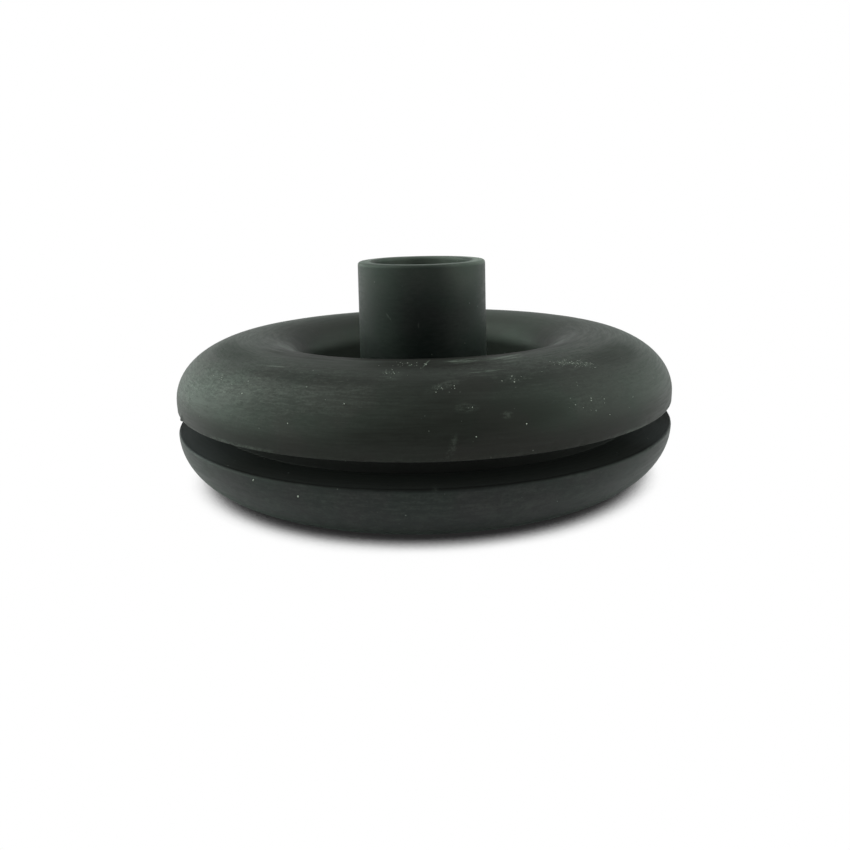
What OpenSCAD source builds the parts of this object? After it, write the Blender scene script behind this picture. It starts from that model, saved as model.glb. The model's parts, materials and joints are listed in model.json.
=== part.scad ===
// Rubber grommet with a raised sleeve, moulded in one piece.
// A thick domed ring grips the edge of a panel in its groove. A thin web at the
// foot of the ring's well carries an open sleeve for a cable, pipe or rod.
// The part stands on its flat foot, with its origin at the foot's centre.

/* [Ring] */
// Outside diameter of the upper ring
ring_d = 50; // [48:0.5:60]
// Height of the upper ring's crown above the foot
ring_h = 13.9; // [12.5:0.1:18]
// Diameter of the circle along the top of the crown
crown_d = 34.4; // [30:0.2:42]
// Height of the upright land between the groove and the crown's curve
land_h = 0.8; // [0.4:0.1:2]
// Outside diameter of the lower ring
lower_d = 50.2; // [48:0.2:60]
// Height of the upright land between the lower ring's curve and the groove
lower_land_h = 0.3; // [0.2:0.1:1]
// Outside diameter of the flat foot
foot_d = 38.4; // [34:0.2:44]

/* [Groove] */
// Height of the groove's lower face above the foot
groove_z = 5.6; // [4:0.1:7]
// Width of the groove, which is the panel's thickness
groove_w = 2.1; // [1:0.1:3]
// Diameter of the groove's floor, which is the panel's hole
groove_d = 43; // [38:0.5:46]
// Radius on the groove's two lips, no more than the upright lands
lip_r = 0.2; // [0.05:0.05:0.2]

/* [Well and web] */
// Diameter of the well inside the upper ring
well_d = 24.8; // [21:0.2:28]
// Height above the foot where the well's wall turns into the crown's inner curve
well_lip_z = 10.7; // [10.5:0.1:12]
// Height of the well's floor above the foot
well_z = 5.2; // [4:0.1:7]
// Thickness of the web between the ring and the sleeve
web_t = 2; // [1:0.1:2.6]
// Diameter of the recess under the web
recess_d = 27; // [20:0.5:32]
// Radius where the recess's wall turns into the web
recess_corner_r = 1; // [0.3:0.1:1.2]

/* [Sleeve] */
// Height of the sleeve's rim above the foot
sleeve_h = 21.1; // [16:0.1:40]
// Outside diameter of the sleeve at its rim
rim_d = 12.9; // [12:0.1:15]
// Outside diameter of the sleeve at its root in the well
root_d = 13.3; // [12.4:0.1:16]
// Diameter of the bore
bore_d = 10; // [6:0.1:11]
// Radius on the rim's two edges and on the bore's lower mouth
rim_edge_r = 0.3; // [0.1:0.05:0.4]

/* [Hidden] */
$fn = 96;
rubber_color = [0.13, 0.14, 0.135];
// Degrees for each step along the ring's curves, the well's bottom and the small radii
ring_step = 13;
well_step = 18;
edge_step = 45;
// Points closer than this are one point
same_point = 0.001;
ring_r = ring_d / 2;
crown_r = crown_d / 2;
lower_r = lower_d / 2;
foot_r = foot_d / 2;
groove_r = groove_d / 2;
well_r = well_d / 2;
recess_r = recess_d / 2;
rim_r = rim_d / 2;
root_r = root_d / 2;
bore_r = bore_d / 2;
groove_top_z = groove_z + groove_w;
land_top_z = groove_top_z + land_h;
lower_curve_z = groove_z - lower_land_h;
web_z = well_z - web_t;
// The well's bottom is a half circle from the ring's inner wall to the sleeve's root
well_turn_r = (well_r - root_r) / 2;
well_turn_z = well_z + well_turn_r;

// Points on an ellipse about [r, z], from one angle to another
function curve(r, z, size_r, size_z, from, to, step) =
    let (count = ceil(abs(to - from) / step))
    [for (i = [0:count]) let (a = from + (to - from) * i / count) [r + size_r * cos(a), z + size_z * sin(a)]];

// A small radius about [r, z], on an edge or in a corner
function edge(r, z, size, from, to) = curve(r, z, size, size, from, to, edge_step);

// The points without those that lie on the next one
function distinct(points) =
    [for (i = [0:len(points) - 1])
        if (norm(points[i] - points[(i + 1) % len(points)]) > same_point) points[i]];

// Underside, from the bore's lower mouth out to the foot's inner edge
underside = concat(
    edge(bore_r + rim_edge_r, web_z + rim_edge_r, rim_edge_r, 180, 270),
    edge(recess_r - recess_corner_r, web_z - recess_corner_r, recess_corner_r, 90, 0),
    [[recess_r, 0]]);

// Lower ring, from the foot's outer edge up to its lip and in along the groove
lower_ring = concat(
    curve(foot_r, lower_curve_z, lower_r - foot_r, lower_curve_z, 270, 360, ring_step),
    edge(lower_r - lip_r, groove_z - lip_r, lip_r, 0, 90),
    [[groove_r, groove_z]]);

// Upper ring, from the groove's floor out to its lip and over the crown to the well's wall
upper_ring = concat(
    [[groove_r, groove_top_z]],
    edge(ring_r - lip_r, groove_top_z + lip_r, lip_r, 270, 360),
    curve(crown_r, land_top_z, ring_r - crown_r, ring_h - land_top_z, 0, 90, ring_step),
    curve(crown_r, well_lip_z, crown_r - well_r, ring_h - well_lip_z, 90, 180, ring_step));

// Well's bottom and sleeve, up to the rim where the section ends at the bore
sleeve = concat(
    curve(root_r + well_turn_r, well_turn_z, well_turn_r, well_turn_r, 360, 180, well_step),
    edge(rim_r - rim_edge_r, sleeve_h - rim_edge_r, rim_edge_r, 0, 90),
    edge(bore_r + rim_edge_r, sleeve_h - rim_edge_r, rim_edge_r, 90, 180));

// The whole moulding, turned about the bore's axis
module grommet() {
    color(rubber_color)
        rotate_extrude()
            polygon(distinct(concat(underside, lower_ring, upper_ring, sleeve)));
}

grommet();
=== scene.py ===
import bpy
import json
import math
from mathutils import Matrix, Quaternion, Vector


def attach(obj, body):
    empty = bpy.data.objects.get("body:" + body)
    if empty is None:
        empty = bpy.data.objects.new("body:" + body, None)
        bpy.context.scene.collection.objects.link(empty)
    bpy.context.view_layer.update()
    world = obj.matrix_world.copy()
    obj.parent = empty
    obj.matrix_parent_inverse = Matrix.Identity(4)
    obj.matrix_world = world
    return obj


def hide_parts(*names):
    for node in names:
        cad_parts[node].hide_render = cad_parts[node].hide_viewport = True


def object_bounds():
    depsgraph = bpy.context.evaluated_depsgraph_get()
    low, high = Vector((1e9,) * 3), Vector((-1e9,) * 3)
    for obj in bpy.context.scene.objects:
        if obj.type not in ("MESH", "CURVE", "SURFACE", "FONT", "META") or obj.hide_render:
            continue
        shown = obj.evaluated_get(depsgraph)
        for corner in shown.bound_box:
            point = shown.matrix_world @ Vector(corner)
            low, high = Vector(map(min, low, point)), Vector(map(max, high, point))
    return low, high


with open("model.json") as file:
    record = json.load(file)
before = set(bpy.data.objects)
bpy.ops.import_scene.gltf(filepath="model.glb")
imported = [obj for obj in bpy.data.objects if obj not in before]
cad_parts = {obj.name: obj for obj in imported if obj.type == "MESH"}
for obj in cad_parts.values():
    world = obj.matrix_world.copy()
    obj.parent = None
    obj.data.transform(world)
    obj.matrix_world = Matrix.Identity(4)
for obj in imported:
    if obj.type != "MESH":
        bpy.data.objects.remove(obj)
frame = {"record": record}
cadLow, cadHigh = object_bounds()
mm = 0.001
mounts = {mount["name"]: mount for mount in frame["record"]["mounts"]}
print("frame loaded")


# small helpers for node trees

def addNode(tree, kind, inputs=None, **settings):
    node = tree.nodes.new(kind)
    for name, value in settings.items():
        setattr(node, name, value)
    for socket, value in (inputs or {}).items():
        plug(tree, node.inputs[socket], value)
    return node


def plug(tree, socket, value):
    if isinstance(value, bpy.types.NodeSocket):
        tree.links.new(value, socket)
    else:
        socket.default_value = value


def calc(tree, operation, a, b=0.0, c=0.0, clamp=False):
    inputs = {0: a, 1: b, 2: c}
    return addNode(tree, "ShaderNodeMath", inputs, operation=operation, use_clamp=clamp).outputs[0]


def chain(tree, operation, first, others):
    for other in others:
        first = calc(tree, operation, first, other)
    return first


def product(tree, first, *others):
    return chain(tree, "MULTIPLY", first, others)


def total(tree, first, *others):
    return chain(tree, "ADD", first, others)


def largest(tree, first, *others):
    return chain(tree, "MAXIMUM", first, others)


def less(tree, value, taken):
    return calc(tree, "SUBTRACT", value, taken)


def inverse(tree, mask):
    return less(tree, 1.0, mask)


def scaled(tree, value, factor, offset):
    return calc(tree, "MULTIPLY_ADD", value, factor, offset)


def apart(tree, a, b):
    return calc(tree, "ABSOLUTE", less(tree, a, b))


def diagonal(tree, across, up):
    return calc(tree, "SQRT", scaled(tree, across, across, product(tree, up, up)))


def degrees(tree, angle):
    return product(tree, angle, 180 / math.pi)


def spread(tree, value, low, high, outLow=0.0, outHigh=1.0):
    # soft step from outLow to outHigh
    inputs = {"Value": value, "From Min": low, "From Max": high, "To Min": outLow, "To Max": outHigh}
    return addNode(tree, "ShaderNodeMapRange", inputs, interpolation_type="SMOOTHSTEP").outputs["Result"]


def fading(tree, value, low, high):
    return spread(tree, value, low, high, 1.0, 0.0)


def vectorCalc(tree, operation, a, b=(0, 0, 0)):
    second = "Scale" if operation == "SCALE" else 1
    return addNode(tree, "ShaderNodeVectorMath", {0: a, second: b}, operation=operation).outputs["Vector"]


def split(tree, vector):
    return addNode(tree, "ShaderNodeSeparateXYZ", {0: vector}).outputs


def joined(tree, x, y, z):
    return addNode(tree, "ShaderNodeCombineXYZ", {"X": x, "Y": y, "Z": z}).outputs[0]


def noise(tree, vector, scale, detail=2.0, rough=0.5):
    inputs = {"Vector": vector, "Scale": scale, "Detail": detail, "Roughness": rough}
    return addNode(tree, "ShaderNodeTexNoise", inputs, noise_dimensions="3D").outputs["Fac"]


def polar(tree, position):
    # angle round the bore's axis, distance from it and height
    parts = split(tree, position)
    angle = calc(tree, "ARCTAN2", parts["Y"], parts["X"])
    return angle, diagonal(tree, parts["X"], parts["Y"]), parts["Z"]


def outwardFrom(tree, position):
    # unit vector from the bore's axis out to the position
    return vectorCalc(tree, "NORMALIZE", vectorCalc(tree, "MULTIPLY", position, (1, 1, 0)))


def newGroup(name, kind, inputs, outputs):
    tree = bpy.data.node_groups.new(name, kind)
    for socketName, socketKind, value in inputs:
        socket = tree.interface.new_socket(socketName, in_out="INPUT", socket_type=socketKind)
        if value is not None:
            socket.default_value = value
    for socketName, socketKind in outputs:
        tree.interface.new_socket(socketName, in_out="OUTPUT", socket_type=socketKind)
    return tree, addNode(tree, "NodeGroupInput").outputs, addNode(tree, "NodeGroupOutput").inputs


def addObject(name, data):
    item = bpy.data.objects.new(name, data)
    bpy.context.scene.collection.objects.link(item)
    return item


# the moulding's section, as points of radius and height

moulding = {
    "lowerRadius": (cadHigh.x - cadLow.x) / 2,
    "ringRadius": 25.0 * mm,
    "crownRadius": 17.2 * mm,
    "crownHeight": 13.9 * mm,
    "landHeight": 0.8 * mm,
    "lowerLandHeight": 0.3 * mm,
    "footRadius": 19.2 * mm,
    "grooveHeight": 5.6 * mm,
    "grooveWidth": 2.1 * mm,
    "grooveRadius": 21.5 * mm,
    "grooveCorner": 0.08 * mm,
    "upperLipEdge": 0.12 * mm,
    "lowerLipEdge": 0.25 * mm,
    "wellRadius": 12.4 * mm,
    "wellLipHeight": 10.7 * mm,
    "wellFloor": 5.2 * mm,
    "webThickness": 2.0 * mm,
    "recessRadius": 13.5 * mm,
    "recessCorner": 1.0 * mm,
    "footEdge": 0.15 * mm,
    "sleeveHeight": cadHigh.z - cadLow.z,
    "rimRadius": 6.45 * mm,
    "rootRadius": 6.65 * mm,
    "boreRadius": mounts["bore"]["dims"]["r_mm"] * mm,
    "rimEdge": 0.3 * mm,
    "support": 0.06 * mm,       # row beside each small radius, which keeps the flats flat
    "rowSpacing": 1.4 * mm,
    "turns": 520,
    "waviness": 0.035 * mm,
    "nickDepth": 0.11 * mm,
    "flashDrop": 0.12 * mm,
    "flashes": [(-52, 12), (-128, 12)],     # azimuth and half width of each
    "burr": {"azimuth": -152.5, "halfWidth": 1.3, "reach": 0.18 * mm},      # one small spike of flash
    "rimDrop": 0.14 * mm,       # the sleeve's end is cut a little low and slants down to the front
    "rimSlant": 0.12 * mm,
    "rimReach": 4.5 * mm,       # how far down the sleeve the slant dies out
}


def arc(radius, height, sizeOut, sizeUp, start, stop, steps):
    points = []
    for step in range(steps + 1):
        angle = math.radians(start + (stop - start) * step / steps)
        points.append((radius + sizeOut * math.cos(angle), height + sizeUp * math.sin(angle)))
    return points


def straight(first, last, size):
    # rows between two curves: one close to each end and a few between
    length = math.dist(first, last)
    if length < 3 * size["support"]:
        return []
    inner = length - 2 * size["support"]
    count = max(1, round(inner / size["rowSpacing"]))
    stops = [size["support"] + inner * step / count for step in range(count + 1)]
    return [tuple(a + (b - a) * stop / length for a, b in zip(first, last)) for stop in stops]


def sectionCurves(size):
    webHeight = size["wellFloor"] - size["webThickness"]
    grooveTop = size["grooveHeight"] + size["grooveWidth"]
    landTop = grooveTop + size["landHeight"]
    lowerTop = size["grooveHeight"] - size["lowerLandHeight"]
    turn = (size["wellRadius"] - size["rootRadius"]) / 2      # the well's half-round bottom
    edge, top = size["rimEdge"], size["sleeveHeight"]
    corner, foot, recess = size["grooveCorner"], size["footEdge"], size["recessCorner"]
    upperLip, lowerLip = size["upperLipEdge"], size["lowerLipEdge"]
    flashRows = [(size["ringRadius"] - step * 0.1 * mm, grooveTop) for step in range(8, 1, -1)]
    return [
        arc(size["boreRadius"] + edge, webHeight + edge, edge, edge, 180, 270, 4),
        arc(size["recessRadius"] - recess, webHeight - recess, recess, recess, 90, 0, 6),
        arc(size["recessRadius"] + foot, foot, foot, foot, 180, 270, 3),
        arc(size["footRadius"], lowerTop, size["lowerRadius"] - size["footRadius"], lowerTop,
            270, 360, 20),
        arc(size["lowerRadius"] - lowerLip, size["grooveHeight"] - lowerLip, lowerLip, lowerLip, 0, 90, 5),
        arc(size["grooveRadius"] + corner, size["grooveHeight"] + corner, corner, corner, 270, 180, 3),
        arc(size["grooveRadius"] + corner, grooveTop - corner, corner, corner, 180, 90, 3),
        flashRows,
        arc(size["ringRadius"] - upperLip, grooveTop + upperLip, upperLip, upperLip, 270, 360, 4),
        arc(size["crownRadius"], landTop, size["ringRadius"] - size["crownRadius"],
            size["crownHeight"] - landTop, 0, 90, 22),
        arc(size["crownRadius"], size["wellLipHeight"], size["crownRadius"] - size["wellRadius"],
            size["crownHeight"] - size["wellLipHeight"], 94, 180, 16),
        arc(size["rootRadius"] + turn, size["wellFloor"] + turn, turn, turn, 360, 180, 14),
        arc(size["rimRadius"] - edge, top - edge, edge, edge, 0, 90, 5),
        arc(size["boreRadius"] + edge, top - edge, edge, edge, 90, 180, 5),
    ]


def mouldingSection(size):
    curves = sectionCurves(size)
    points = []
    for curve, nextCurve in zip(curves, curves[1:] + curves[:1]):
        points += curve
        points += straight(curve[-1], nextCurve[0], size)
    return [p for p, q in zip(points, points[1:] + points[:1]) if math.dist(p, q) > 0.001 * mm]


# the moulding, turned from its section by a node tree

def ownPosition(tree):
    return addNode(tree, "GeometryNodeInputPosition").outputs[0]


def turnSection(tree, given):
    # a grid with a row for each point of the section, bent round the bore's axis and closed
    rows = addNode(tree, "GeometryNodeAttributeDomainSize", {0: given["Section"]}, component="MESH")
    rowCount = rows.outputs["Point Count"]
    grid = addNode(tree, "GeometryNodeMeshGrid", {
        "Size X": 1.0, "Size Y": 1.0,
        "Vertices X": total(tree, given["Turns"], 1.0),
        "Vertices Y": total(tree, rowCount, 1.0)}).outputs["Mesh"]
    place = split(tree, ownPosition(tree))
    row = calc(tree, "ROUND", product(tree, total(tree, place["Y"], 0.5), rowCount))
    sample = addNode(tree, "GeometryNodeSampleIndex", data_type="FLOAT_VECTOR", domain="POINT", inputs={
        "Geometry": given["Section"],
        "Value": ownPosition(tree),
        "Index": calc(tree, "MODULO", row, rowCount)})
    point = split(tree, sample.outputs["Value"])
    angle = product(tree, total(tree, place["X"], 0.5), 2 * math.pi)
    turned = joined(tree, product(tree, point["X"], calc(tree, "COSINE", angle)),
                    product(tree, point["X"], calc(tree, "SINE", angle)), point["Z"])
    shape = addNode(tree, "GeometryNodeSetPosition", {"Geometry": grid, "Position": turned}).outputs[0]
    return addNode(tree, "GeometryNodeMergeByDistance", {"Geometry": shape, "Distance": 1e-6}).outputs[0]


def lipMask(tree, radius, height, lipRadius, lipHeight):
    # 1 on a lip of the groove, fading out by 0.4 mm from it
    away = diagonal(tree, less(tree, radius, lipRadius), less(tree, height, lipHeight))
    return fading(tree, away, 0.12 * mm, 0.4 * mm)


def flashMask(tree, position, azimuth, radius, height, given, flashes):
    ridge = apart(tree, radius, less(tree, given["Upper Lip Radius"], 0.42 * mm))
    onFace = calc(tree, "LESS_THAN", apart(tree, height, given["Upper Lip Height"]), 0.02 * mm)
    ragged = spread(tree, noise(tree, position, 260.0, 4.0, 0.6), 0.42, 0.62, 0.25, 1.0)
    stretch = 0.0
    for middle, halfWidth in flashes:
        away = apart(tree, azimuth, middle)
        stretch = largest(tree, stretch, fading(tree, away, 0.2 * halfWidth, halfWidth))
    mask = product(tree, fading(tree, ridge, 0.05 * mm, 0.22 * mm), onFace)
    return product(tree, mask, product(tree, ragged, stretch))


def raggedEdges(tree, shape, given, size):
    # nicks on both lips of the groove, a burr and a thin flash on the upper one, and the sleeve's cut end
    position = ownPosition(tree)
    angle, radius, height = polar(tree, position)
    azimuth = degrees(tree, angle)
    upperLip = lipMask(tree, radius, height, given["Upper Lip Radius"], given["Upper Lip Height"])
    lowerLip = lipMask(tree, radius, height, given["Upper Lip Radius"], given["Lower Lip Height"])
    nicks = spread(tree, noise(tree, position, 1900.0, 3.0, 0.7), 0.56, 0.74)
    nicks = product(tree, nicks, largest(tree, upperLip, lowerLip),
                    product(tree, given["Nick Depth"], -1.0))
    burr = size["burr"]
    burrAway = apart(tree, azimuth, burr["azimuth"])
    burrOut = product(tree, spread(tree, burrAway, 0.0, burr["halfWidth"], burr["reach"], 0.0), upperLip)
    flash = product(tree, flashMask(tree, position, azimuth, radius, height, given, size["flashes"]),
                    product(tree, given["Flash Drop"], -1.0))
    backward = calc(tree, "DIVIDE", split(tree, position)["Y"], given["Rim Radius"])
    slant = less(tree, product(tree, given["Rim Slant"], backward), given["Rim Drop"])
    slantStart = less(tree, given["Rim Height"], given["Rim Reach"])
    nearRim = spread(tree, height, slantStart, given["Rim Height"])
    drop = total(tree, flash, product(tree, slant, nearRim))
    sideways = vectorCalc(tree, "SCALE", outwardFrom(tree, position), total(tree, nicks, burrOut))
    offset = vectorCalc(tree, "ADD", sideways, joined(tree, 0.0, 0.0, drop))
    return addNode(tree, "GeometryNodeSetPosition", {"Geometry": shape, "Offset": offset}).outputs[0]


def wavySkin(tree, shape, given):
    # the skin of the rubber is never quite true, but the foot stays flat and the bore round
    position = ownPosition(tree)
    _, radius, height = polar(tree, position)
    wave = less(tree, noise(tree, position, 95.0, 2.0, 0.4), 0.5)
    free = product(tree, spread(tree, height, 0.2 * mm, 2.0 * mm),
                   spread(tree, radius, 5.2 * mm, 6.0 * mm))
    lift = product(tree, wave, free, product(tree, given["Waviness"], 2.0))
    normal = addNode(tree, "GeometryNodeInputNormal").outputs[0]
    offset = vectorCalc(tree, "SCALE", normal, lift)
    return addNode(tree, "GeometryNodeSetPosition", {"Geometry": shape, "Offset": offset}).outputs[0]


def finishTree(tree, shape, given, result):
    shape = addNode(tree, "GeometryNodeRealizeInstances", {"Geometry": shape}).outputs[0]
    inputs = {"Geometry": shape, "Material": given["Material"]}
    plug(tree, result["Mesh"], addNode(tree, "GeometryNodeSetMaterial", inputs).outputs[0])
    return tree


def mouldingTree(size):
    inputs = [
        ("Section", "NodeSocketGeometry", None),
        ("Turns", "NodeSocketInt", 180),
        ("Waviness", "NodeSocketFloat", 0.0),
        ("Nick Depth", "NodeSocketFloat", 0.0),
        ("Flash Drop", "NodeSocketFloat", 0.0),
        ("Rim Drop", "NodeSocketFloat", 0.0),
        ("Rim Slant", "NodeSocketFloat", 0.0),
        ("Rim Reach", "NodeSocketFloat", 0.005),
        ("Rim Radius", "NodeSocketFloat", 0.006),
        ("Rim Height", "NodeSocketFloat", 0.02),
        ("Upper Lip Radius", "NodeSocketFloat", 0.025),
        ("Upper Lip Height", "NodeSocketFloat", 0.0077),
        ("Lower Lip Height", "NodeSocketFloat", 0.0056),
        ("Material", "NodeSocketMaterial", None),
    ]
    outputs = [("Mesh", "NodeSocketGeometry")]
    tree, given, result = newGroup("turnedMoulding", "GeometryNodeTree", inputs, outputs)
    shape = turnSection(tree, given)
    shape = raggedEdges(tree, shape, given, size)
    shape = wavySkin(tree, shape, given)
    shape = addNode(tree, "GeometryNodeSetShadeSmooth", {"Geometry": shape}).outputs[0]
    return finishTree(tree, shape, given, result)


def setInputs(modifier, tree, values):
    for item in tree.interface.items_tree:
        if item.item_type == "SOCKET" and item.in_out == "INPUT" and item.name in values:
            modifier[item.identifier] = values[item.name]


def growPiece(name, mesh, tree, values):
    # the tree's result on a start mesh, as a plain mesh in an object of its own
    holder = addObject(mesh.name, mesh)
    modifier = holder.modifiers.new("nodes", "NODES")
    modifier.node_group = tree
    setInputs(modifier, tree, values)
    bpy.context.view_layer.update()
    evaluated = holder.evaluated_get(bpy.context.evaluated_depsgraph_get())
    grown = bpy.data.meshes.new_from_object(evaluated)
    holder.modifiers.clear()
    bpy.data.objects.remove(holder)
    return addObject(name, grown)


def makeMoulding(size, material):
    points = mouldingSection(size)
    mesh = bpy.data.meshes.new("mouldingSection")
    edges = [(index, (index + 1) % len(points)) for index in range(len(points))]
    mesh.from_pydata([(radius, 0.0, height) for radius, height in points], edges, [])
    piece = growPiece("mouldedGrommet", mesh, mouldingTree(size), {
        "Turns": size["turns"],
        "Waviness": size["waviness"],
        "Nick Depth": size["nickDepth"],
        "Flash Drop": size["flashDrop"],
        "Rim Drop": size["rimDrop"],
        "Rim Slant": size["rimSlant"],
        "Rim Reach": size["rimReach"],
        "Rim Radius": size["rimRadius"],
        "Rim Height": size["sleeveHeight"],
        "Upper Lip Radius": size["ringRadius"],
        "Upper Lip Height": size["grooveHeight"] + size["grooveWidth"],
        "Lower Lip Height": size["grooveHeight"],
        "Material": material,
    })
    print("moulding turned:", len(points), "rows,", len(piece.data.polygons), "faces")
    return piece


# marks on the skin, placed by azimuth and by slope, the angle round the ring's own section

def spot(azimuth, wide, slope, high, level, lean=0.0, core=0.3):
    # half width and half height in degrees; lean slants it, and it is at full level out to the core
    return {"azimuth": azimuth, "wide": wide, "slope": slope, "high": high, "level": level, "lean": lean,
            "core": core}


marks = {
    "dust": [
        spot(-97.5, 4, 55, 10, 0.5),
        spot(-86, 5, 42, 5, 1.0, lean=1.2),
        spot(-71, 5, 43, 4, 0.5),
        spot(-54, 8, 53, 6, 0.6, lean=-1.3),
        spot(-82.5, 3, 24, 4, 0.8),
        spot(-75.3, 1.6, 18, 3, 0.8),
        spot(-58, 7, 18, 9, 0.35),
        spot(-115, 10, 22, 9, 0.15),
        # painted highlight: a lighter band on the ring's left side
        spot(-147, 30, 30, 16, 0.6),
    ],
    # painted light: a lighter tone at the two ends of the groove
    "grooveEndLight": [
        spot(-150, 24, -20, 60, 0.8),
        spot(-28, 14, -20, 60, 0.8),
    ],
    "crumbs": [
        spot(-53.7, 6, 53, 3.4, 1.0, lean=-1.3, core=0.6),
        spot(-71, 5, 44, 4, 0.12),
        spot(-97.5, 4, 56, 9, 0.16),
        spot(-86, 5, 43, 5, 0.13, lean=0.6),
        spot(-65, 7, 50, 3, 0.1),
        spot(-82.5, 3, 23, 3, 0.05),
        spot(-58, 7, 18, 8, 0.04),
        spot(-93, 8, 76, 9, 0.1),
        spot(-142, 10, 30, 8, 0.02),
    ],
    "scuffs": [
        spot(-72, 20, 78, 16, 1.0),
        spot(-92, 8, 75, 12, 0.9),
        spot(-128, 9, 57, 4, 0.5),
    ],
    "scratches": [
        spot(-80, 6, 80, 2.4, 1.0, lean=-0.2, core=0.5),
        spot(-79, 6, 86, 2.0, 0.5, lean=0.4),
        spot(-80.5, 3, 75, 1.6, 0.7, lean=-0.2),
        spot(-67, 7, 84, 2.4, 0.9, lean=0.8, core=0.5),
        spot(-66, 5, 78, 1.8, 0.7, lean=0.7),
        spot(-76, 6, 56, 1.4, 0.5, lean=0.25),
        spot(-128, 5, 56.7, 1.6, 0.6, lean=0.5),
        spot(-89.2, 1.4, 79, 3.2, 1.0, lean=11),
        spot(-93.4, 0.5, 73, 3.0, 0.8),
        spot(-120, 3.6, 144.7, 0.7, 0.3, lean=0.42),
        spot(-93.6, 0.9, 147.5, 1.6, 0.22),
    ],
    # painted shade: darker patches with less dust and a dimmer reflection
    "shade": [
        spot(-117, 24, 47, 9, 1.0),
        spot(-78, 22, 42, 9, 0.5),
        spot(-74, 15, 18, 14, 0.9),
        spot(-117, 16, 20, 14, 0.5),
        spot(-35, 18, 52, 18, 1.4),
        spot(-155, 24, 62, 18, 1.5),
    ],
    "drips": [
        spot(-85.2, 1.1, 4, 7, 1.0, lean=2, core=0.0),
        spot(-85.9, 1.2, -1, 5, 0.7, lean=3, core=0.0),
        spot(-88.5, 0.8, -20, 4, 0.5, core=0.0),
    ],
    "ripples": [
        spot(-147, 12, 20, 14, 1.0),
    ],
    # a duller finish, and painted shade: the reflection and sheen dimmed and less dust
    "mattAndShade": [
        spot(-90, 85, 94, 34, 0.45),
        spot(-90, 85, 100, 24, 1.0),
        spot(-87, 28, 78, 24, 0.85),
        spot(-125, 30, 86, 12, 0.6),
    ],
    # lighter on the sleeve's upper right side
    "lighterPatch": [
        spot(-50, 30, 126, 18, 1.0, core=0.0),
    ],
    # painted reflection on the sleeve's cut end, at its left and right
    "cutEndGlint": [
        spot(5, 60, 132, 20, 1.0, core=0.4),
        spot(175, 50, 132, 20, 0.45, core=0.4),
        spot(-185, 50, 132, 20, 0.45, core=0.4),
    ],
    # painted light inside the top of the bore
    "mouth": [
        spot(90, 75, 140, 60, 1.0),
    ],
    # painted light on the well's back wall
    "wellWallLight": [
        spot(50, 60, 118, 32, 1.0),
        spot(137, 40, 140, 50, 0.35),
    ],
    # dust on the groove's upper lip, which also paints a pale highlight line along it
    "lips": [
        spot(-128, 14, -8, 20, 1.0),
        spot(-47, 10, -8, 20, 0.8),
    ],
    "worn": [
        spot(-135, 50, 40, 45, 1.2),
        spot(-62, 42, 66, 34, 1.1),
        spot(-40, 50, 40, 40, 0.5),
        spot(-90, 90, -35, 25, 0.5),
        # painted glare along the ring's left edge
        spot(-152, 14, 16, 22, 2.0),
    ],
}


def ringAngles(tree, angle, radius, height):
    # azimuth and slope in degrees; the slope turns about the middle of the ring's crown
    slope = calc(tree, "ARCTAN2", less(tree, height, 8.5 * mm), less(tree, radius, 17.1 * mm))
    return degrees(tree, angle), degrees(tree, slope)


def markMask(tree, azimuth, slope, spots):
    mask = 0.0
    for mark in spots:
        off = less(tree, azimuth, mark["azimuth"])
        across = calc(tree, "DIVIDE", off, mark["wide"])
        up = less(tree, less(tree, slope, mark["slope"]), product(tree, off, mark["lean"]))
        reach = diagonal(tree, across, calc(tree, "DIVIDE", up, mark["high"]))
        mask = largest(tree, mask, spread(tree, reach, mark["core"], 1.0, mark["level"], 0.0))
    return mask


# patterns that run round the part or lie all over the skin

def aroundVector(tree, position):
    # runs round the part without a seam
    _, radius, height = polar(tree, position)
    along = less(tree, height, product(tree, radius, 0.8))
    rise = joined(tree, 0.0, 0.0, product(tree, along, 1 / mm))
    return vectorCalc(tree, "ADD", outwardFrom(tree, position), rise)


def roundNoise(tree, around, squeeze, detail, rough=0.5):
    return noise(tree, vectorCalc(tree, "MULTIPLY", around, squeeze), 1.0, detail, rough)


def streakNoise(tree, around):
    return roundNoise(tree, around, (7.0, 7.0, 4.0), 4.0, 0.65)


def dashNoise(tree, around):
    return roundNoise(tree, around, (26.0, 26.0, 3.5), 3.0, 0.7)


def patchNoise(tree, position):
    return noise(tree, vectorCalc(tree, "SCALE", position, 1 / mm), 0.22, 3.0, 0.55)


# effects of the skin, as shader groups

def makeGrainGroup():
    tree, given, result = newGroup("mouldGrain", "ShaderNodeTree", [
        ("Position", "NodeSocketVector", None), ("Around", "NodeSocketVector", None)], [
        ("Grain", "NodeSocketFloat"), ("Streak", "NodeSocketFloat"), ("Dash", "NodeSocketFloat"),
        ("Patch", "NodeSocketFloat")])
    fine = vectorCalc(tree, "SCALE", given["Position"], 1 / mm)
    plug(tree, result["Grain"], noise(tree, fine, 4.5, 4.0, 0.7))
    plug(tree, result["Streak"], streakNoise(tree, given["Around"]))
    plug(tree, result["Dash"], dashNoise(tree, given["Around"]))
    plug(tree, result["Patch"], patchNoise(tree, given["Position"]))
    return tree


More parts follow.
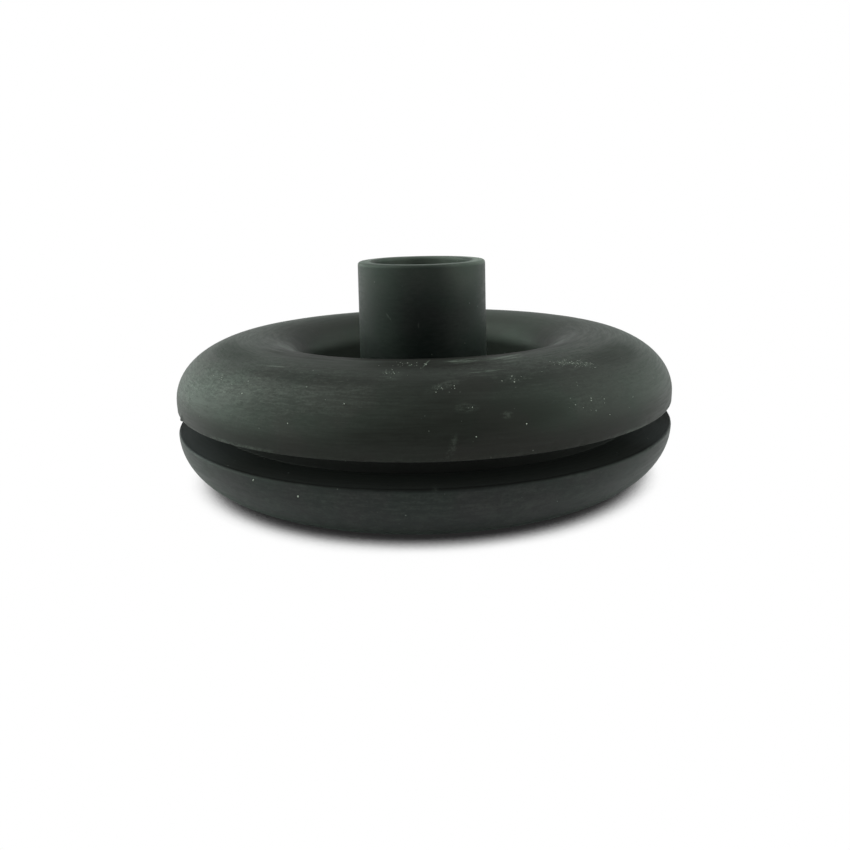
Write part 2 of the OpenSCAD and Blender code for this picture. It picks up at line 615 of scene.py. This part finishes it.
def makeSpeckGroup():
    # small round specks of dust, as many as Share asks for
    tree, given, result = newGroup("dustSpecks", "ShaderNodeTree", [
        ("Position", "NodeSocketVector", None), ("Spacing", "NodeSocketFloat", 0.4 * mm),
        ("Share", "NodeSocketFloat", 0.2)], [("Mask", "NodeSocketFloat")])
    place = vectorCalc(tree, "SCALE", given["Position"], calc(tree, "DIVIDE", 1.0, given["Spacing"]))
    inputs = {"Vector": place, "Scale": 1.0, "Randomness": 1.0}
    cells = addNode(tree, "ShaderNodeTexVoronoi", inputs).outputs
    pick = addNode(tree, "ShaderNodeSeparateColor", {0: cells["Color"]}).outputs
    there = calc(tree, "LESS_THAN", pick[0], given["Share"])
    size = spread(tree, pick[1], 0.0, 1.0, 0.14, 0.34)
    dot = calc(tree, "SUBTRACT", 1.0, calc(tree, "DIVIDE", cells["Distance"], size), clamp=True)
    plug(tree, result["Mask"], product(tree, dot, there, spread(tree, pick[2], 0.0, 1.0, 0.35, 1.0)))
    return tree


def makeScuffGroup():
    # long thin lines that run round the part
    tree, given, result = newGroup("scuffLines", "ShaderNodeTree", [
        ("Around", "NodeSocketVector", None), ("Share", "NodeSocketFloat", 0.5)], [
        ("Mask", "NodeSocketFloat")])
    lines = roundNoise(tree, given["Around"], (5.0, 5.0, 9.0), 3.0, 0.7)
    breaks = roundNoise(tree, given["Around"], (11.0, 11.0, 5.0), 2.0)
    low = less(tree, 0.76, product(tree, given["Share"], 0.2))
    line = spread(tree, lines, low, total(tree, low, 0.07))
    mask = product(tree, line, spread(tree, breaks, 0.42, 0.58), spread(tree, given["Share"], 0.0, 0.2))
    plug(tree, result["Mask"], mask)
    return tree


groups = {
    "grain": makeGrainGroup(),
    "specks": makeSpeckGroup(),
    "scuffs": makeScuffGroup(),
}


def useGroup(tree, name, inputs):
    return addNode(tree, "ShaderNodeGroup", inputs, node_tree=groups[name]).outputs


def blendColour(tree, factor, first, second):
    return addNode(tree, "ShaderNodeMix", {0: factor, 6: first, 7: second}, data_type="RGBA").outputs[2]


def blendValue(tree, factor, first, second):
    return addNode(tree, "ShaderNodeMix", {0: factor, 2: first, 3: second}).outputs[0]


def newMaterial(name):
    material = bpy.data.materials.new(name)
    material.use_nodes = True
    material.node_tree.nodes.clear()
    return material, material.node_tree


def plugSurface(tree, shader, output="ShaderNodeOutputMaterial"):
    plug(tree, addNode(tree, output).inputs["Surface"], shader.outputs[0])


# black rubber

rubber = {
    "ringTone": (0.0142, 0.0128, 0.0119, 1.0),
    "lowerTone": (0.0115, 0.0125, 0.0131, 1.0),
    # darker tone of the sleeve, painted shade
    "sleeveShadeTone": (0.0065, 0.0080, 0.0082, 1.0),
    "grooveFloorLightTone": (0.0250, 0.0240, 0.0240, 1.0),       # floor of the groove, deep in the shade; its lighter tone is painted light
    # darker tone on the groove's flanks, painted shade
    "flankShadeTone": (0.0120, 0.0112, 0.0114, 1.0),
    # lighter tone at the groove's ends, painted light
    "grooveEndLightTone": (0.0370, 0.0375, 0.0415, 1.0),
    "warmTone": (0.0150, 0.0145, 0.0125, 1.0),
    "warmShare": 0.6,
    "dustTone": (0.150, 0.165, 0.145, 1.0),
    "speckTone": (0.50, 0.52, 0.48, 1.0),
    # cover of the dust, whose tone also paints light, and less of it shade; a pair is what a full mark
    # adds and what lies everywhere
    "wornDustAndGlare": (0.19, 0.02),
    "shadeLoss": 0.05,
    "mattAndShadeLoss": 0.5,
    "cloudDustAndHighlight": 0.25,
    "lipDustAndHighlight": (0.3, 0.05),
    # painted glare at the sleeve's rim, painted reflection on its cut end and painted light inside the
    # bore's top
    "rimGlare": 0.13,
    "cutEndGlintLevel": (0.7, 0.04),
    "mouthDust": (0.5, 0.03),
    "lighterPatchLevel": 0.24,
    "wellDustAndLight": (0.22, 0.12),       # dust at the bottom and at the top of the well
    # painted light on the well's back wall
    "wellWallLightLevel": 0.18,
    "lineDust": 0.75,
    "dripDust": 0.25,
    "speckDust": 0.5,
    "speckSpacing": 0.27 * mm,
    "speckShare": (2.2, 0.015),
    "scuffShare": 0.12,
    # how far the shine is dimmed, as painted shade
    "undersideShade": 0.34,
    "lowerPartShade": 0.12,
    "shadeDim": 0.25,
    "mattAndShadeDim": 0.8,
    "grooveShadeDim": (0.5, 0.95),       # painted shade: dims the reflection on its floor and on its flanks
    "lipShadeDim": 0.6,
    "dashShine": 0.12,
    "streakShine": 0.12,
    "roughness": (0.44, 0.58),
    "dustRoughness": 0.12,
    "shadeRoughness": 0.05,
    "specularLevel": 0.3,
    "specularTints": ((0.88, 1.0, 0.90, 1.0), (1.0, 0.98, 0.95, 1.0)),
    "sheen": 0.07,
    "sheenRoughness": 0.38,
    "sheenTint": (0.80, 1.0, 0.88, 1.0),
    "grooveSheen": (0.98, 1.0, 0.98, 1.0),
    # heights under the bump, in pairs as above
    "grainRelief": (0.45, 0.1),
    "streakRelief": (1.6, 0.5),
    "dashRelief": (1.5, 0.15),
    "speckRelief": 0.5,
    "sleeveRelief": -0.6,
    "bumpStrength": 0.5,
    "bumpDepth": 0.03 * mm,
}


def grooveMask(tree, radius, height, size):
    # 1 in the groove and on the top of its lower lip
    low, floor, lip = size["grooveHeight"], size["grooveRadius"], size["ringRadius"]
    top = low + size["grooveWidth"]
    beyondFloor = spread(tree, radius, floor - 0.5 * mm, floor - 0.2 * mm)
    insideLip = fading(tree, radius, lip - 0.4 * mm, lip + 0.05 * mm)
    nearBottom = fading(tree, height, low + 0.3 * mm, low + 0.6 * mm)
    between = product(tree, spread(tree, height, low - 0.22 * mm, low),
                      fading(tree, height, top + 0.02 * mm, top + 0.1 * mm))
    return product(tree, beyondFloor, largest(tree, insideLip, nearBottom), between)


def readSkin(tree, size):
    # places, parts of the moulding and marks, as values of this tree alone
    position = addNode(tree, "ShaderNodeTexCoord").outputs["Object"]
    angle, radius, height = polar(tree, position)
    azimuth, slope = ringAngles(tree, angle, radius, height)
    skin = {name: markMask(tree, azimuth, slope, spots) for name, spots in marks.items()}
    skin.update({
        "position": position,
        "around": aroundVector(tree, position),
        "radius": radius,
        "height": height,
        "slope": slope,
        "lowerPart": fading(tree, height, 5.7 * mm, 7.0 * mm),
        "sleevePart": fading(tree, radius, 7.5 * mm, 10.5 * mm),
        "groove": grooveMask(tree, radius, height, size),
    })
    return skin


def sleeveLightening(tree, look, size, skin):
    # painted light in the dust's tone: glare on the rim, a reflection on the cut end and light inside the
    # top of the bore; and lighter on its right side
    end, bore = size["sleeveHeight"], size["boreRadius"]
    rim = spread(tree, skin["height"], end - 5 * mm, end, 0.0, look["rimGlare"])
    outside = spread(tree, skin["radius"], bore + 0.1 * mm, bore + 0.5 * mm)
    mouth = product(tree, inverse(tree, outside), spread(tree, skin["height"], end - 7 * mm, end),
                    scaled(tree, skin["mouth"], *look["mouthDust"]))
    cut = product(tree, outside, spread(tree, skin["height"], end - 0.6 * mm, end - 0.25 * mm),
                  scaled(tree, skin["cutEndGlint"], *look["cutEndGlintLevel"]))
    lighterPatch = product(tree, skin["sleevePart"], skin["lighterPatch"], look["lighterPatchLevel"])
    return total(tree, rim, mouth, cut, lighterPatch)


def wellDustAndLight(tree, look, size, skin):
    # dust low in the well, and painted light on its back wall
    wall, web = size["wellRadius"], size["webThickness"]
    inWell = product(tree, fading(tree, skin["radius"], wall + 0.1 * mm, wall + 0.6 * mm),
                     spread(tree, skin["radius"], 7.0 * mm, 8.5 * mm),
                     spread(tree, skin["height"], web * 2.2, size["wellFloor"]))
    level = spread(tree, skin["height"], 8 * mm, 11 * mm, *look["wellDustAndLight"])
    lighterPatch = product(tree, skin["wellWallLight"], inverse(tree, skin["sleevePart"]), look["wellWallLightLevel"])
    return total(tree, product(tree, inWell, level), lighterPatch)


def dustAndLightFilm(tree, look, size, skin, grain, mottle):
    # dust in streaks round the part, thicker where it is worn, on the sleeve and lips, in clouds and in
    # the well; its pale tone also paints light on the sleeve, on the lips, on the well's back wall and in
    # two spots, and less of it paints shade
    dustAndLight = product(tree, spread(tree, grain["Streak"], 0.3, 0.7), mottle,
                   scaled(tree, skin["worn"], *look["wornDustAndGlare"]))
    dustAndLight = calc(tree, "SUBTRACT", dustAndLight, product(tree, skin["shade"], look["shadeLoss"]), clamp=True)
    patchy = spread(tree, grain["Patch"], 0.3, 0.7, 0.8, 1.2)
    sleeve = product(tree, sleeveLightening(tree, look, size, skin), patchy)
    grooveTop = size["grooveHeight"] + size["grooveWidth"]
    lips = lipMask(tree, skin["radius"], skin["height"], size["ringRadius"], grooveTop)
    lips = product(tree, lips, mottle, scaled(tree, skin["lips"], *look["lipDustAndHighlight"]))
    dustAndLight = total(tree, dustAndLight, sleeve, lips, product(tree, skin["dust"], mottle, look["cloudDustAndHighlight"]))
    dustAndLight = product(tree, dustAndLight, inverse(tree, product(tree, skin["mattAndShade"], look["mattAndShadeLoss"])))
    dustAndLight = total(tree, dustAndLight, wellDustAndLight(tree, look, size, skin))
    return product(tree, dustAndLight, inverse(tree, skin["groove"]))


def skinTone(tree, look, size, skin, grain):
    # tones of the three parts of the moulding, with warmer patches, and the groove's own tones; the
    # sleeve's darker tone and the groove's darker flanks are painted shade, and the groove's lighter floor
    # and ends are painted light
    warm = product(tree, spread(tree, grain["Patch"], 0.5, 0.68), look["warmShare"])
    colour = blendColour(tree, warm, look["ringTone"], look["warmTone"])
    colour = blendColour(tree, skin["lowerPart"], colour, look["lowerTone"])
    colour = blendColour(tree, skin["sleevePart"], colour, look["sleeveShadeTone"])
    floor = size["grooveRadius"]
    outward = spread(tree, skin["radius"], floor + 0.02 * mm, floor + 0.3 * mm)
    flank = blendColour(tree, skin["grooveEndLight"], look["flankShadeTone"], look["grooveEndLightTone"])
    return blendColour(tree, skin["groove"], colour, blendColour(tree, outward, look["grooveFloorLightTone"], flank))


def skinLines(tree, look, skin, grain, scuffs, mottle):
    # long scuffs, single scratches and dried drips
    scratches = product(tree, skin["scratches"], spread(tree, grain["Dash"], 0.35, 0.6, 0.3, 1.0))
    return largest(tree, product(tree, largest(tree, scuffs, scratches), look["lineDust"]),
                   product(tree, skin["drips"], mottle, look["dripDust"]))


def skinShine(tree, look, size, skin):
    # painted shade: the reflection is dimmed below, in the shade marks, where it is duller and shaded, and
    # in the groove; broken up by dashes and streaks
    floor = size["grooveRadius"]
    # painted shade on the undersides and on the lower part
    under = product(tree, spread(tree, skin["slope"], -6, 16, look["undersideShade"], 0.0),
                    inverse(tree, skin["sleevePart"]))
    under = blendValue(tree, skin["lowerPart"], under, look["lowerPartShade"])
    dim = largest(tree, product(tree, skin["shade"], look["shadeDim"]),
                  product(tree, skin["mattAndShade"], look["mattAndShadeDim"]), under)
    wall = spread(tree, skin["radius"], floor - 0.02 * mm, floor + 0.06 * mm, *look["grooveShadeDim"])
    dash, streak = look["dashShine"], look["streakShine"]
    dashes = spread(tree, dashNoise(tree, skin["around"]), 0.35, 0.65, -dash, dash)
    streaks = spread(tree, streakNoise(tree, skin["around"]), 0.3, 0.7, 1.0 - streak, 1.0 + streak)
    return product(tree, inverse(tree, product(tree, skin["groove"], wall)), inverse(tree, dim),
                   scaled(tree, skin["worn"], dashes, 1.0), streaks)


def skinSheen(tree, look, size, skin):
    # painted shade: less sheen where it is duller and shaded, and on the lower lip inside the groove
    lip = size["ringRadius"]
    shadedLip = product(tree, skin["groove"], spread(tree, skin["radius"], lip - 0.3 * mm, lip - 0.05 * mm,
                                                   0.0, look["lipShadeDim"]))
    return product(tree, inverse(tree, largest(tree, skin["mattAndShade"], shadedLip)), look["sheen"])


def skinRelief(tree, look, skin, grain, specks):
    relief = total(tree, product(tree, grain["Grain"], scaled(tree, skin["worn"], *look["grainRelief"])),
                   product(tree, grain["Streak"], scaled(tree, skin["ripples"], *look["streakRelief"])),
                   product(tree, grain["Dash"], scaled(tree, skin["worn"], *look["dashRelief"])),
                   product(tree, specks, look["speckRelief"]))
    relief = product(tree, relief, scaled(tree, skin["sleevePart"], look["sleeveRelief"], 1.0))
    return addNode(tree, "ShaderNodeBump", {
        "Height": relief, "Strength": look["bumpStrength"], "Distance": look["bumpDepth"]}).outputs[0]


def skinRoughness(tree, look, skin, grain, scuffs, specks):
    dusty = product(tree, largest(tree, scuffs, specks), look["dustRoughness"])
    dull = product(tree, largest(tree, skin["shade"], skin["mattAndShade"]), look["shadeRoughness"])
    return total(tree, spread(tree, grain["Streak"], 0.3, 0.7, *look["roughness"]), dusty, dull)


def rubberMaterial(look, size):
    # the groups feed colour, roughness and relief; what steers the shine is worked out in this tree
    material, tree = newMaterial("mouldedRubber")
    skin = readSkin(tree, size)
    grain = useGroup(tree, "grain", {"Position": skin["position"], "Around": skin["around"]})
    scuffs = useGroup(tree, "scuffs", {
        "Around": skin["around"], "Share": total(tree, skin["scuffs"], look["scuffShare"])})["Mask"]
    specks = useGroup(tree, "specks", {
        "Position": skin["position"], "Spacing": look["speckSpacing"],
        "Share": scaled(tree, skin["crumbs"], *look["speckShare"])})["Mask"]
    mottle = spread(tree, scaled(tree, grain["Dash"], 0.5, product(tree, grain["Grain"], 0.5)), 0.4, 0.62)
    dustAndLight = dustAndLightFilm(tree, look, size, skin, grain, mottle)
    lines = skinLines(tree, look, skin, grain, scuffs, mottle)
    colour = skinTone(tree, look, size, skin, grain)
    colour = blendColour(tree, dustAndLight, colour, look["dustTone"])
    colour = blendColour(tree, lines, colour, look["dustTone"])
    colour = blendColour(tree, product(tree, specks, look["speckDust"]), colour, look["speckTone"])
    warmth = largest(tree, spread(tree, patchNoise(tree, skin["position"]), 0.4, 0.62), skin["groove"])
    shine = skinShine(tree, look, size, skin)
    plugSurface(tree, addNode(tree, "ShaderNodeBsdfPrincipled", {
        "Base Color": colour,
        "Roughness": skinRoughness(tree, look, skin, grain, scuffs, specks),
        "Normal": skinRelief(tree, look, skin, grain, specks),
        "Specular IOR Level": product(tree, shine, look["specularLevel"]),
        "Specular Tint": blendColour(tree, warmth, *look["specularTints"]),
        "Sheen Weight": skinSheen(tree, look, size, skin),
        "Sheen Roughness": look["sheenRoughness"],
        "Sheen Tint": blendColour(tree, skin["groove"], look["sheenTint"], look["grooveSheen"])}))
    return material


rubberSkin = rubberMaterial(rubber, moulding)
print("rubber mixed")
grommet = makeMoulding(moulding, rubberSkin)
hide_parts("grommet")
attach(grommet, "root")


# crumbs of dust and a few fibres on the skin

dust = {
    "crumbSize": 0.021 * mm,
    "crumbSpread": (0.5, 1.7),
    "crumbStretch": (1.0, 2.2),
    "flatness": 0.7,
    "openDensity": 0.02 / (mm * mm),
    "cloudDensity": 42.0 / (mm * mm),
    "seed": 4,
    "pale": (0.62, 0.62, 0.57, 1.0),
    "grey": (0.30, 0.31, 0.28, 1.0),
    "roughness": (0.75, 0.95),
    "specularLevel": 0.3,
    # azimuth, radius and height near the skin, size, stretch and turn
    "flecks": [
        (-113.5, 25.0, 4.5, 0.077, 1.5, 40),
        (-123.5, 25.1, 5.2, 0.049, 3.0, 15),
        (-129, 23.5, 11.7, 0.0595, 1.2, 0),
        (-71.5, 22.0, 12.7, 0.0595, 1.2, 70),
        (-115.3, 24.6, 10.2, 0.042, 1.3, 20),
        (-81.3, 24.9, 9.5, 0.0455, 1.2, 0),
        (-72, 24.7, 10.1, 0.0455, 1.6, 60),
        (-105, 23.5, 11.8, 0.042, 1.2, 0),
        (-139.5, 22.7, 12.3, 0.035, 1.2, 0),
        (-140, 23.5, 11.7, 0.0315, 1.2, 0),
        (-134, 23.0, 12.1, 0.028, 1.5, 0),
        (-130, 22.5, 12.5, 0.0315, 2.0, 80),
        (-61, 24.2, 10.9, 0.0385, 1.4, 30),
        (-59.5, 24.4, 10.6, 0.035, 1.2, 0),
        (-53.5, 24.8, 9.7, 0.0385, 1.2, 0),
        (-57, 24.2, 11.0, 0.035, 1.2, 0),
        (-89.5, 18.5, 13.8, 0.028, 8.0, 130),
        (-93, 18.5, 13.8, 0.028, 3.0, 100),
        (-101, 18.8, 13.7, 0.035, 1.2, 0),
        (-104, 25.0, 6.8, 0.035, 1.4, 0),
    ],
}


def dustMaterial(look):
    material, tree = newMaterial("paleDust")
    position = addNode(tree, "ShaderNodeTexCoord").outputs["Object"]
    around = aroundVector(tree, position)
    grain = useGroup(tree, "grain", {"Position": position, "Around": around})["Grain"]
    plugSurface(tree, addNode(tree, "ShaderNodeBsdfPrincipled", {
        "Base Color": blendColour(tree, spread(tree, grain, 0.35, 0.65), look["grey"], look["pale"]),
        "Roughness": spread(tree, grain, 0.3, 0.7, *look["roughness"]),
        "Specular IOR Level": look["specularLevel"]}))
    return material


def randomValue(tree, low, high, seed):
    inputs = {2: low, 3: high, "Seed": seed}
    return addNode(tree, "FunctionNodeRandomValue", inputs, data_type="FLOAT").outputs[1]


def storeValue(tree, geometry, name, value):
    inputs = {"Geometry": geometry, "Name": name, "Value": value}
    kind = "GeometryNodeStoreNamedAttribute"
    return addNode(tree, kind, inputs, data_type="FLOAT", domain="POINT").outputs[0]


def readValue(tree, name):
    node = addNode(tree, "GeometryNodeInputNamedAttribute", {"Name": name}, data_type="FLOAT")
    return node.outputs["Attribute"]


def scatterCrumbs(tree, given, skin, look):
    # thick in the clouds and thin elsewhere on the upper ring
    angle, radius, height = polar(tree, ownPosition(tree))
    clouds = markMask(tree, *ringAngles(tree, angle, radius, height), marks["crumbs"])
    openSkin = product(tree, spread(tree, height, 9 * mm, 12 * mm), spread(tree, radius, 14 * mm, 17 * mm))
    density = total(tree, product(tree, clouds, given["Cloud Density"]),
                    product(tree, openSkin, given["Open Density"]))
    crumbs = addNode(tree, "GeometryNodeDistributePointsOnFaces", {
        "Mesh": skin, "Density": density, "Seed": given["Seed"]}).outputs["Points"]
    size = product(tree, given["Crumb Size"], randomValue(tree, *look["crumbSpread"], 1))
    crumbs = storeValue(tree, crumbs, "size", size)
    crumbs = storeValue(tree, crumbs, "stretch", randomValue(tree, *look["crumbStretch"], 2))
    return storeValue(tree, crumbs, "turn", randomValue(tree, 0.0, math.pi, 3))


def standOnSkin(tree, points, skin, look):
    # every point is drawn to the skin, and a flat grain stands square on it
    nearest = addNode(tree, "GeometryNodeProximity", {"Geometry": skin}, target_element="FACES")
    settled = addNode(tree, "GeometryNodeSetPosition", {
        "Geometry": points, "Position": nearest.outputs["Position"]}).outputs[0]
    facing = addNode(tree, "GeometryNodeSampleNearestSurface", data_type="FLOAT_VECTOR", inputs={
        "Mesh": skin, "Value": addNode(tree, "GeometryNodeInputNormal").outputs[0]})
    upright = addNode(tree, "FunctionNodeAlignRotationToVector", {
        "Vector": facing.outputs["Value"]}, axis="Z").outputs[0]
    swing = addNode(tree, "FunctionNodeAxisAngleToRotation", {
        "Axis": (0, 0, 1), "Angle": readValue(tree, "turn")}).outputs[0]
    turned = addNode(tree, "FunctionNodeRotateRotation", {
        "Rotation": upright, "Rotate By": swing}, rotation_space="LOCAL").outputs[0]
    size = readValue(tree, "size")
    scale = joined(tree, product(tree, size, readValue(tree, "stretch")), size,
                   product(tree, size, look["flatness"]))
    grain = addNode(tree, "GeometryNodeMeshIcoSphere", {"Radius": 1.0, "Subdivisions": 1}).outputs["Mesh"]
    return addNode(tree, "GeometryNodeInstanceOnPoints", {
        "Points": settled, "Instance": grain, "Rotation": turned, "Scale": scale}).outputs[0]


def dustTree(look):
    inputs = [
        ("Flecks", "NodeSocketGeometry", None),
        ("Skin", "NodeSocketObject", None),
        ("Open Density", "NodeSocketFloat", 0.0),
        ("Cloud Density", "NodeSocketFloat", 0.0),
        ("Crumb Size", "NodeSocketFloat", 0.00005),
        ("Seed", "NodeSocketInt", 0),
        ("Material", "NodeSocketMaterial", None),
    ]
    outputs = [("Mesh", "NodeSocketGeometry")]
    tree, given, result = newGroup("scatteredDust", "GeometryNodeTree", inputs, outputs)
    skin = addNode(tree, "GeometryNodeObjectInfo", {"Object": given["Skin"]}, transform_space="RELATIVE")
    skin = skin.outputs["Geometry"]
    points = addNode(tree, "GeometryNodeJoinGeometry")
    flecks = addNode(tree, "GeometryNodeMeshToPoints", {"Mesh": given["Flecks"]}).outputs[0]
    plug(tree, points.inputs[0], scatterCrumbs(tree, given, skin, look))
    plug(tree, points.inputs[0], flecks)
    shape = standOnSkin(tree, points.outputs[0], skin, look)
    return finishTree(tree, shape, given, result)


def makeDust(look, skin):
    places = []
    columns = {"size": [], "stretch": [], "turn": []}
    for azimuth, radius, height, size, stretch, turn in look["flecks"]:
        around = math.radians(azimuth)
        places.append((radius * mm * math.cos(around), radius * mm * math.sin(around), height * mm))
        columns["size"].append(size * mm)
        columns["stretch"].append(stretch)
        columns["turn"].append(math.radians(turn))
    mesh = bpy.data.meshes.new("flecks")
    mesh.from_pydata(places, [], [])
    for name, values in columns.items():
        mesh.attributes.new(name, "FLOAT", "POINT").data.foreach_set("value", values)
    piece = growPiece("dustCrumbs", mesh, dustTree(look), {
        "Skin": skin,
        "Open Density": look["openDensity"],
        "Cloud Density": look["cloudDensity"],
        "Crumb Size": look["crumbSize"],
        "Seed": look["seed"],
        "Material": dustMaterial(look),
    })
    print("dust settled:", len(piece.data.polygons), "faces")
    return piece


crumbs = makeDust(dust, grommet)
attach(crumbs, "root")


# table, light and camera

studio = {
    "tableSize": 3.0,
    "tableDrop": 0.02 * mm,
    "tableColour": (0.85, 0.85, 0.85, 1.0),
    "skyReach": 0.2,
    "contactOcclusion": (0.13, 0.46),       # open share of the sky, where the table is darkest and white
    "mirroredOcclusion": (0.15, 0.78),      # the same for reflections in the rubber
    "nearTable": (-100 * mm, -32 * mm, 0.62),       # reflections of the table dim towards the camera
    "contactShade": 0.02,
    "leftBox": (2.25, 3.15),        # towards the camera and away from it
    "rightBox": (1.75, 1.65),
    "boxTone": (0.84, 1.0, 0.89, 1.0),
    "boxEdge": (0.6, 0.82),
    "boxTop": (0.87, 0.97),
    "backdrop": 0.75,
    "backdropEdge": (0.5, 0.75),
    "backdropTop": (0.12, 0.42),
    "room": (0.03, 0.45),       # over the camera and over the backdrop
}

camera = {
    "distance": 79.93 * mm,
    "aimHeight": 3.57 * mm,
    "pitch": 15.7,
    "roll": -1.27,
    "lens": 31.39,
    "sensor": 36.0,
    "nearest": 0.005,
}


def reflectedRay(tree, path):
    return largest(tree, path["Is Glossy Ray"], path["Is Transmission Ray"])


def makeTable(setup):
    half = setup["tableSize"] / 2
    corners = [(-half, -half, 0), (half, -half, 0), (half, half, 0), (-half, half, 0)]
    mesh = bpy.data.meshes.new("table")
    mesh.from_pydata(corners, [], [(0, 1, 2, 3)])
    table = addObject("table", mesh)
    table.location.z = -setup["tableDrop"]
    material, tree = newMaterial("whiteTable")
    path = addNode(tree, "ShaderNodeLightPath").outputs
    # directly seen, the table is plain white down to the shadow where the rubber meets it
    occlusion = addNode(tree, "ShaderNodeAmbientOcclusion", {"Distance": setup["skyReach"]}, samples=16)
    openSky = occlusion.outputs["AO"]
    seen = spread(tree, openSky, *setup["contactOcclusion"], setup["contactShade"], 1.0)
    mirrored = spread(tree, openSky, *setup["mirroredOcclusion"], setup["contactShade"], 1.0)
    place = split(tree, addNode(tree, "ShaderNodeTexCoord").outputs["Object"])
    near, far, dim = setup["nearTable"]
    mirrored = product(tree, mirrored, spread(tree, place["Y"], near, far, dim, 1.0))
    level = blendValue(tree, path["Is Camera Ray"], mirrored, seen)
    glow = addNode(tree, "ShaderNodeEmission", {"Color": (1, 1, 1, 1), "Strength": level}).outputs[0]
    diffuse = addNode(tree, "ShaderNodeBsdfDiffuse", {"Color": setup["tableColour"]}).outputs[0]
    # camera, glossy and transmission rays see the glow, and the light takes the diffuse table
    plain = largest(tree, path["Is Camera Ray"], reflectedRay(tree, path))
    plugSurface(tree, addNode(tree, "ShaderNodeMixShader", {0: plain, 1: diffuse, 2: glow}))
    mesh.materials.append(material)


def makeWorld(setup):
    world = bpy.data.worlds.new("studio")
    bpy.context.scene.world = world
    world.use_nodes = True
    tree = world.node_tree
    tree.nodes.clear()
    path = addNode(tree, "ShaderNodeLightPath").outputs
    direction = addNode(tree, "ShaderNodeTexCoord").outputs["Generated"]
    away = split(tree, direction)
    across = split(tree, outwardFrom(tree, direction))
    # a tall soft box on each side, a white backdrop low behind, and a dim room over and in front
    left = spread(tree, across["Y"], -0.5, 0.5, *setup["leftBox"])
    right = spread(tree, across["Y"], -0.5, 0.5, *setup["rightBox"])
    side = blendValue(tree, spread(tree, across["X"], -0.1, 0.1), left, right)
    sideMask = product(tree, spread(tree, calc(tree, "ABSOLUTE", across["X"]), *setup["boxEdge"]),
                       fading(tree, away["Z"], *setup["boxTop"]))
    backMask = product(tree, spread(tree, across["Y"], *setup["backdropEdge"]),
                       fading(tree, away["Z"], *setup["backdropTop"]))
    room = spread(tree, away["Y"], 0.1, 0.6, *setup["room"])
    lit = largest(tree, product(tree, sideMask, side), product(tree, backMask, setup["backdrop"]), room)
    # directly seen, the backdrop is white all round; in reflections it is white where it stands
    mirrored = largest(tree, lit, product(tree, reflectedRay(tree, path), backMask))
    strength = blendValue(tree, path["Is Camera Ray"], mirrored, 1.0)
    boxed = calc(tree, "SUBTRACT", sideMask, path["Is Camera Ray"], clamp=True)
    cast = blendColour(tree, boxed, (1, 1, 1, 1), setup["boxTone"])
    sky = addNode(tree, "ShaderNodeBackground", {"Color": cast, "Strength": strength})
    plugSurface(tree, sky, "ShaderNodeOutputWorld")


def makeCamera(view):
    data = bpy.data.cameras.new("camera")
    data.lens = view["lens"]
    data.sensor_width = view["sensor"]
    data.clip_start = view["nearest"]
    holder = addObject("camera", data)
    pitch = math.radians(view["pitch"])
    holder.location = (0.0, -view["distance"] * math.cos(pitch),
                       view["aimHeight"] + view["distance"] * math.sin(pitch))
    aim = Vector((0.0, 0.0, view["aimHeight"])) - holder.location
    roll = Quaternion((0, 0, 1), math.radians(view["roll"]))
    holder.rotation_euler = (aim.to_track_quat("-Z", "Y") @ roll).to_euler()
    bpy.context.scene.camera = holder


makeTable(studio)
makeWorld(studio)
makeCamera(camera)
bpy.context.scene.view_settings.view_transform = "Standard"
print("studio set")

bpy.context.view_layer.update()
print("done")
